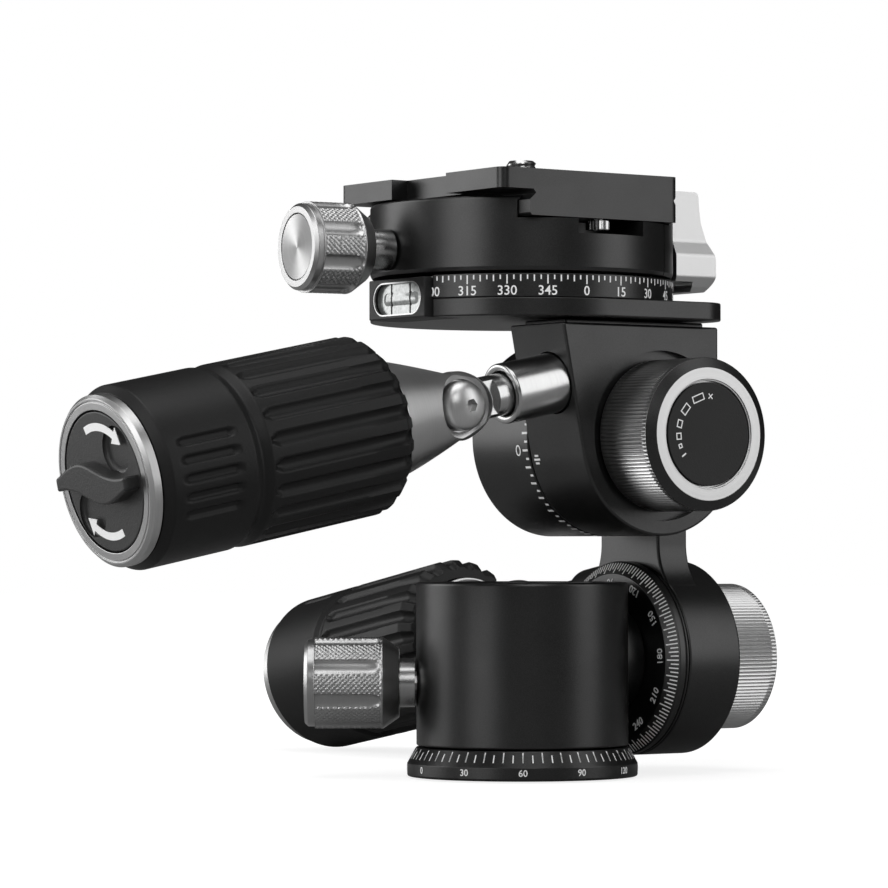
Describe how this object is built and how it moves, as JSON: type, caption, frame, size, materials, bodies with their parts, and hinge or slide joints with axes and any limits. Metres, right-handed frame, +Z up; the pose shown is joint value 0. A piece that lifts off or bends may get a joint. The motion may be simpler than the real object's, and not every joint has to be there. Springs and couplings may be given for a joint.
{
  "type": "pan and tilt head",
  "caption": "Worm-driven pan and tilt tripod head with folding rubber-grip handles, friction knobs, panning bases and a lever clamp holding a dovetail camera plate.",
  "frame": {"origin": "centre of the tripod thread, in the plane of the base flange's underside", "axes": "+Z up along the pan axis; +X along the lower tilt axis towards the lower friction knob; -Y along the upper tilt axis towards the upper friction knob"},
  "size_m": [0.1733, 0.1759, 0.1266],
  "materials": {
    "black_anodised": "bead-blasted and black anodised, fine grain, printed with white scales",
    "silver_satin": "satin silver anodised, knurled on the locking knobs",
    "knurled_grey": "straight-knurled side with a bright turned bevel",
    "polished_steel": "polished",
    "spring_steel": "machined steel",
    "bronze": "machined bronze",
    "brass": "turned brass",
    "black_rubber": "matte, ribbed",
    "black_disc": "matte with fine grain",
    "slider_plastic": "plain bearing plastic",
    "level_fluid": "clear vial"
  },
  "bodies": {
    "tripod_base": {"base_flange": "black_anodised", "tripod_thread_insert": "polished_steel", "base_retaining_nut": "spring_steel"},
    "pan_base": {"base_housing": "black_anodised", "base_top_cover": "black_anodised", "base_lock_pad": "brass", "lower_scale_disc": "black_anodised", "lower_worm_wheel": "bronze", "lower_tilt_axle": "spring_steel", "lower_disc_spring": "spring_steel"},
    "base_lock": {"base_lock_knob": "silver_satin", "base_lock_stud": "spring_steel", "base_lock_cap": "silver_satin"},
    "lower_tilt": {"tilt_arm": "black_anodised", "lower_worm_sleeve": "polished_steel", "lower_friction_pad": "slider_plastic", "upper_axle_nut": "spring_steel", "upper_drum_cover": "black_anodised", "upper_tilt_axle": "spring_steel", "upper_worm_wheel": "bronze", "upper_disc_spring": "spring_steel"},
    "lower_friction": {"lower_friction_knob": "knurled_grey", "lower_friction_cap": "black_disc"},
    "lower_worm": {"lower_worm": "polished_steel"},
    "lower_handle": {"lower_handle_core": "silver_satin", "lower_hinge_pin": "polished_steel", "lower_handle_grip": "black_rubber", "lower_handle_end_ring": "silver_satin"},
    "lower_twist": {"lower_twist_lock": "black_disc", "lower_lock_rod": "spring_steel"},
    "upper_tilt": {"upper_housing": "black_anodised", "upper_worm_sleeve": "polished_steel", "upper_friction_pad": "slider_plastic", "pan_flange": "black_anodised", "pan_scale_ring": "black_anodised", "level_frame": "black_disc", "level_vial": "level_fluid", "pan_retaining_nut": "spring_steel"},
    "upper_friction": {"upper_friction_knob": "knurled_grey", "upper_friction_cap": "black_disc"},
    "upper_worm": {"upper_worm": "polished_steel"},
    "upper_handle": {"upper_handle_core": "silver_satin", "upper_hinge_pin": "polished_steel", "upper_handle_grip": "black_rubber", "upper_handle_end_ring": "silver_satin"},
    "upper_twist": {"upper_twist_lock": "black_disc", "upper_lock_rod": "spring_steel"},
    "top_pan": {"clamp_body": "black_anodised", "pan_lock_pad": "brass", "clamp_draw_bolt": "polished_steel"},
    "pan_lock": {"pan_lock_knob": "silver_satin", "pan_lock_stud": "spring_steel", "pan_lock_cap": "silver_satin"},
    "clamp_jaw": {"clamp_jaw": "black_anodised"},
    "clamp_lever": {"clamp_lever": "silver_satin"},
    "plate": {"camera_plate": "black_anodised", "front_stop_screw": "polished_steel", "rear_stop_screw": "polished_steel"},
    "camera_screw": {"camera_screw": "polished_steel", "camera_screw_ring": "polished_steel"}
  },
  "joints": [
    {"name": "base_pan", "type": "hinge", "parent": "tripod_base", "child": "pan_base", "pos_m": [0, 0, 0.02], "axis": [0, 0, 1], "continuous": true},
    {"name": "base_lock_turn", "type": "hinge", "parent": "pan_base", "child": "base_lock", "pos_m": [-0.0178, 0.0129, 0.0191], "axis": [-0.809, 0.5878, 0], "range_deg": [0, 360]},
    {"name": "lower_tilt", "type": "hinge", "parent": "pan_base", "child": "lower_tilt", "pos_m": [0.028, 0, 0.0237], "axis": [1, 0, 0], "range_deg": [-30, 90]},
    {"name": "lower_friction_turn", "type": "hinge", "parent": "pan_base", "child": "lower_friction", "pos_m": [0.0418, 0, 0.0237], "axis": [1, 0, 0], "range_deg": [-135, 135]},
    {"name": "lower_worm_turn", "type": "hinge", "parent": "lower_tilt", "child": "lower_worm", "pos_m": [0.036, 0.00245, 0.03819], "axis": [0, 0.986, -0.1668], "range_deg": [-2160, 720]},
    {"name": "lower_handle_fold", "type": "hinge", "parent": "lower_worm", "child": "lower_handle", "pos_m": [0.036, 0.04929, 0.03027], "axis": [0, -0.1668, -0.986], "range_deg": [0, 90]},
    {"name": "lower_twist_turn", "type": "hinge", "parent": "lower_handle", "child": "lower_twist", "pos_m": [0.036, 0.12511, 0.01745], "axis": [0, -0.986, 0.1668], "range_deg": [0, 90]},
    {"name": "upper_tilt", "type": "hinge", "parent": "lower_tilt", "child": "upper_tilt", "pos_m": [0.0146, -0.01, 0.0695], "axis": [0, 1, 0], "range_deg": [-30, 60]},
    {"name": "upper_friction_turn", "type": "hinge", "parent": "lower_tilt", "child": "upper_friction", "pos_m": [0.0146, -0.0283, 0.0695], "axis": [0, -1, 0], "range_deg": [-135, 135]},
    {"name": "upper_worm_turn", "type": "hinge", "parent": "upper_tilt", "child": "upper_worm", "pos_m": [0.01175, -0.0211, 0.08392], "axis": [-0.981, 0, -0.1942], "range_deg": [-1440, 720]},
    {"name": "upper_handle_fold", "type": "hinge", "parent": "upper_worm", "child": "upper_handle", "pos_m": [-0.03485, -0.0211, 0.07469], "axis": [0, -1, 0], "range_deg": [0, 70]},
    {"name": "upper_twist_turn", "type": "hinge", "parent": "upper_handle", "child": "upper_twist", "pos_m": [-0.11029, -0.0211, 0.05976], "axis": [0.981, 0, 0.1942], "range_deg": [0, 90]},
    {"name": "top_pan", "type": "hinge", "parent": "upper_tilt", "child": "top_pan", "pos_m": [0, 0, 0.105], "axis": [0, 0, 1], "continuous": true},
    {"name": "pan_lock_turn", "type": "hinge", "parent": "top_pan", "child": "pan_lock", "pos_m": [-0.031, 0.00353, 0.1072], "axis": [-0.9936, 0.1132, 0], "range_deg": [0, 360]},
    {"name": "clamp_lever_swing", "type": "hinge", "parent": "top_pan", "child": "clamp_lever", "pos_m": [0.034, 0.017, 0.1072], "axis": [0, 0, 1], "range_deg": [0, 90]},
    {"name": "clamp_jaw_slide", "type": "slide", "parent": "top_pan", "child": "clamp_jaw", "axis": [1, 0, 0], "range_m": [0, 0.0018]},
    {"name": "plate_slide", "type": "slide", "parent": "top_pan", "child": "plate", "axis": [0, 1, 0], "range_m": [-0.0025, 0.0025]},
    {"name": "camera_screw_turn", "type": "hinge", "parent": "plate", "child": "camera_screw", "pos_m": [0, 0, 0.118], "axis": [0, 0, 1], "continuous": true}
  ],
  "couplings": [
    {"joint": "lower_worm_turn", "follows": "lower_tilt", "ratio": -24},
    {"joint": "upper_worm_turn", "follows": "upper_tilt", "ratio": -24},
    {"joint": "clamp_jaw_slide", "follows": "clamp_lever_swing", "m_per_rad": 0.0011459}
  ]
}
